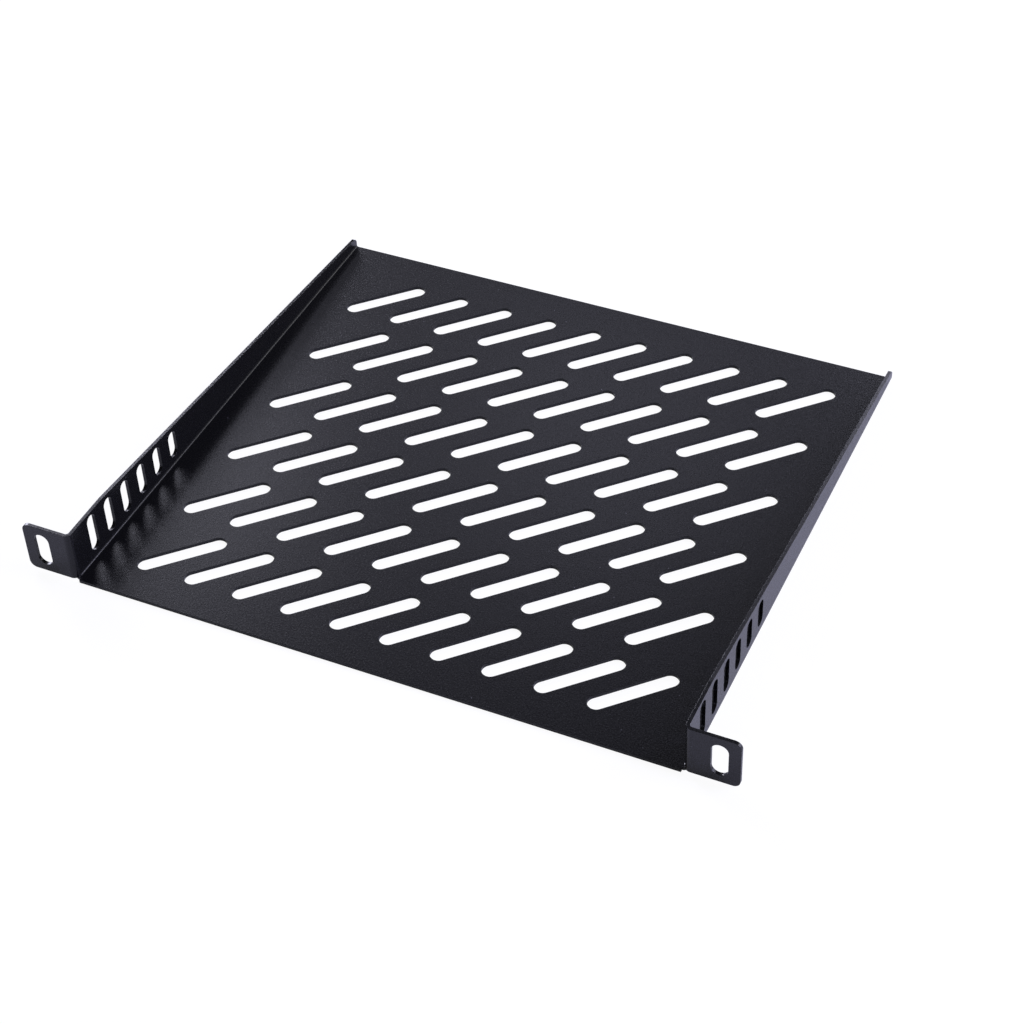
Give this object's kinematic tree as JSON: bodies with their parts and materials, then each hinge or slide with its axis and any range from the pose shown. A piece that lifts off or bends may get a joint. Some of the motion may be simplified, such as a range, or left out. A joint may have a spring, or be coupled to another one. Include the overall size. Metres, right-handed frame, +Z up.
{
  "type": "rack shelf",
  "caption": "Vented shelf for a small equipment rack, folded from one sheet: a flat floor with slanted slots, tapering side walls and slotted front ears.",
  "frame": {"origin": "under the middle of the floor, at the level of its underside", "axes": "+X across the shelf towards the right ear as seen from the front, +Y from the front edge towards the back, +Z up through the floor; the ears are at the front, -Y"},
  "size_m": [0.25, 0.2, 0.02],
  "materials": {
    "black_powder_coat": "satin black powder coat"
  },
  "bodies": {
    "root": {"shelf": "black_powder_coat"}
  },
  "joints": []
}
